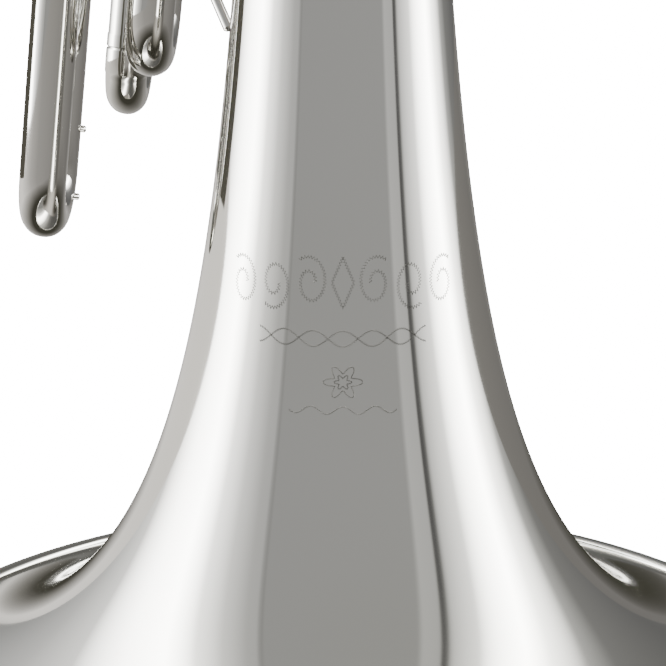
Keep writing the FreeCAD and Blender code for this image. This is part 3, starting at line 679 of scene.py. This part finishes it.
def coil(name, w, p, turns, length, radius, wire):
    """A spring: a helix of the given turns along p, wound round the hinge rod."""
    t = np.linspace(0, 1, turns * 18)
    a = 2 * np.pi * turns * t
    places = wrap(w + radius * np.cos(a), p + length * t, valve_rise + radius * np.sin(a))
    headings = np.gradient(places, axis=0)
    headings /= np.linalg.norm(headings, axis=1)[:, None]
    return solid(name, places, headings, np.full(len(t), wire * mm), 8)


hinge, string_bar, knee_reach, touch_reach = 106.0, 80, 26, 48
for row, valve in enumerate(VALVES):
    body = "thumb_lever" if valve == "change" else f"finger_lever_{valve}"
    way = -1 if valve == "change" else 1
    p = first_valve + valve_pitch * row + 8
    collar = turned(f"{body}_collar", np.array([
        (2.05, -9), (3.4, -9), (4.0, -8.4), (4.0, -6.4), (3.5, -5.8), (3.5, 5.8), (4.0, 6.4),
        (4.0, 8.4), (3.4, 9), (2.05, 9)]) * mm, wrap(hinge, p, valve_rise), away, 40)
    sharp(collar, 40)
    finish_piece(collar, body, nickel_silver, "nickel_silver", body)
    knee = valve_rise + way * knee_reach
    tip = valve_rise + way * touch_reach
    stalk = bar(f"{body}_stalk", [
        wrap(hinge + 0.6, p, valve_rise + way * 2.2), wrap(hinge + 1.0, p, knee),
        wrap(hinge + 2.4, p, tip - way * 6)], [0.030], 0.0023, 0.0018)
    finish_piece(stalk, body, nickel_silver, "nickel_silver")
    dish = np.linspace(0, 1, 12)
    face = np.column_stack([0.2 + 9.9 * dish, 1.2 + 0.8 * dish ** 2])
    under = [(10.4, 1.9), (10.45, 1.5), (10.3, 1.0), (0.2, 0.1)]
    touch = turned(f"{body}_touch", np.vstack([face, under]) * mm, wrap(hinge + 2.1, p - 1, tip),
                   to_levers, 64)
    sharp(touch, 40)
    finish_piece(touch, body, nickel_silver, "nickel_silver")
    short = bar(f"{body}_arm", [wrap(hinge - 3, p, valve_rise), wrap(string_bar, p, valve_rise)],
                [], 0.0019)
    finish_piece(short, body, nickel_silver, "nickel_silver")
    post = bar(f"{body}_string_bar", [wrap(string_bar, p, valve_rise - 13.5),
                                      wrap(string_bar, p, valve_rise + 13.5)], [], 0.0012)
    finish_piece(post, body, nickel_silver, "nickel_silver")
    hub_side = p - 8 + 6.15
    for side, label in ((-1, "low"), (1, "high")):
        run = bar(f"{body}_string_{label}", [wrap(string_bar, hub_side, valve_rise + side * 0.6),
                                             wrap(string_bar, p - 0.9, valve_rise + side * 12)],
                  [], 0.0004, around=10)
        finish_piece(run, body, string_black, "string",
                     *([f"strings_{valve}"] if side < 0 else []))
    spring = coil(f"{body}_spring", hinge, p - 16.3, 7, 6.8, 2.9, 0.4)
    finish_piece(spring, "horn", steel, "steel", *(["lever_springs"] if row == 0 else []))

# ---- Pull nibs: two small studs soldered to the bow of the third valve's F slide, which
# give the fingers something to pull on when the slide is tight.
for row, (p, v) in enumerate(((14.0, -243.0), (10.6, -265.6))):
    nib = bar(f"pull_nib_{row}", [wrap(68 - reach, first_valve + p, v) for reach in (7.2, 9.3)],
              [], 0.0012, spacing=0.0003)
    finish_piece(nib, "f_slide_third", nickel_silver, "nickel_silver")

# ---- Stem brace: a thin nickel silver rod between the side of the bell's stem and the third
# valve's long sleeve, soldered at both ends.
brace_height = 0.207
brace_low = np.array([-throat_radius(brace_height) - 0.0002, 0.0, brace_height])
brace_high = wrap(68, first_valve - 20.5, -103)
brace_way = (brace_high - brace_low) / np.linalg.norm(brace_high - brace_low)
finish_piece(bar("stem_brace", [brace_low - brace_way * 0.0004, brace_high], [], 0.0016),
             "horn", nickel_silver, "nickel_silver")

# ---- Finger hook: a bent nickel silver rod with a rounded end, which the little finger
# hangs from. It is soldered to a saddle on the third valve's long sleeve.
hook_w, hook_p = 68 + 7.6, first_valve - 14
hook = bar("finger_hook_bent", [
    wrap(hook_w + 2.1, hook_p, -45), wrap(hook_w + 20, hook_p, -45),
    wrap(hook_w + 26, hook_p - 10, -66), wrap(hook_w + 8, hook_p - 16, -76)],
    [0.009, 0.009], 0.0024, around=24)
finish_piece(hook, "horn", nickel_silver, "nickel_silver", "finger_hook")

# ---- Ornament: generic scrollwork rocked into the front of the throat with a graver, a
# zigzag line that reads darker than the polish. It stands where makers put their engraving.
cut_line = metal("graver_cut", (0.16, 0.158, 0.15), 0.42, 0.2, 4.0, 0.0)


def on_throat(across, height):
    """Points on the bell's front: across is arc length from its middle line, in metres."""
    radius = throat_radius(height)
    angle = across / radius
    return np.column_stack([radius * np.sin(angle), -radius * np.cos(angle), height])


def rocked(name, across, height, swing, pitch, cut):
    """A zigzag along a line on the throat: offset by plus and minus swing at every half pitch."""
    step = np.hypot(np.diff(across), np.diff(height))
    way = np.concatenate([[0], np.cumsum(step)])
    count = max(int(way[-1] / (pitch / 2)), 4)
    at = np.linspace(0, way[-1], count)
    x, y = np.interp(at, way, across), np.interp(at, way, height)
    dx, dy = np.gradient(x), np.gradient(y)
    size = np.hypot(dx, dy)
    flip = np.where(np.arange(count) % 2 == 0, 1.0, -1.0) * swing
    places = on_throat(x - dy / size * flip, y + dx / size * flip)
    headings = np.gradient(places, axis=0)
    headings /= np.linalg.norm(headings, axis=1)[:, None]
    piece = solid(name, places, headings, np.full(count, cut), 5)
    finish_piece(piece, "horn", cut_line, "nickel_silver")


t = np.linspace(0, 1, 600)
scroll_height, vine_height, flower_height, foot_height = 0.1425, 0.1275, 0.1160, 0.1085
for side in (-1, 1):
    turn = 2 * np.pi * (0.15 + 1.35 * t)
    reach = 1 - 0.72 * t
    for row, start in enumerate((0.0090, 0.0195, 0.0300)):
        flip = 1 if row % 2 == 0 else -1
        rocked(f"scroll_{row}_{'left' if side < 0 else 'right'}",
               side * (start + 0.0050 * reach * np.cos(turn)),
               scroll_height - 0.0008 * row + flip * 0.0072 * reach * np.sin(turn),
               0.00042, 0.00085, 0.00014)
lozenge = np.array([(0, 0.0068), (0.0030, 0), (0, -0.0068), (-0.0030, 0), (0, 0.0068)])
corner = np.linspace(0, 1, 5)
rocked("scroll_lozenge", np.interp(t, corner, lozenge[:, 0]),
       scroll_height + np.interp(t, corner, lozenge[:, 1]), 0.00036, 0.00085, 0.00014)
for row, shift in enumerate((-0.5, 0.5)):
    vine = 0.024 * (2 * t - 1)
    rocked(f"vine_line_{row}", vine, vine_height + 0.0021 * np.sin(vine / 0.0026 + np.pi * shift),
           0.00020, 0.0006, 0.00013)
petal = 2 * np.pi * t
for row, wide in enumerate((1.0, 0.45)):
    rocked(f"flower_line_{row}", wide * 0.0040 * np.cos(petal) * (1 + 0.35 * np.cos(6 * petal)),
           flower_height + wide * 0.0034 * np.sin(petal) * (1 + 0.35 * np.cos(6 * petal)),
           0.00012, 0.0005, 0.00013)
foot = 0.0150 * (2 * t - 1)
rocked("foot_line", foot, foot_height + 0.0010 * np.cos(foot / 0.0014), 0.00014, 0.0005, 0.00012)

# ---- Everything else keeps its CAD shape: plates, posts, rods, braces, water key and arms,
# in the horn's metal or ground steel, with bronze rotors and dark synthetic cork in the stops.
bronze = metal("rotor_bronze", (0.70, 0.53, 0.28), 0.16, 0.12, 2.0, 0.0)
cork = dull("stop_cork", "ShaderNodeTexNoise", 1400, (0.02, 0.018, 0.016), (0.09, 0.08, 0.07),
            0.85)
# The rim bead's metal is darker and rougher than the rest: its darker colour is painted shade, which tones down
# the bright reflection on the bead.
bead_painted_shade_metal = metal("bead_painted_shade", (0.40, 0.39, 0.345), 0.24, 0.3, 3.0, 0.0)
slots = {"nickel_silver": nickel_silver, "brass": bronze, "steel": steel, "cork": cork,
         "string": string_black, "silver_plate": silver_plate}
for part in frame["record"]["subparts"]:
    node = nodes[part["node"]]
    if not node.hide_render:
        node.data.materials.clear()
        node.data.materials.append(bead_painted_shade_metal if part["node"] == "bell_rim_wire"
                                   else slots[part["material_slot"]])
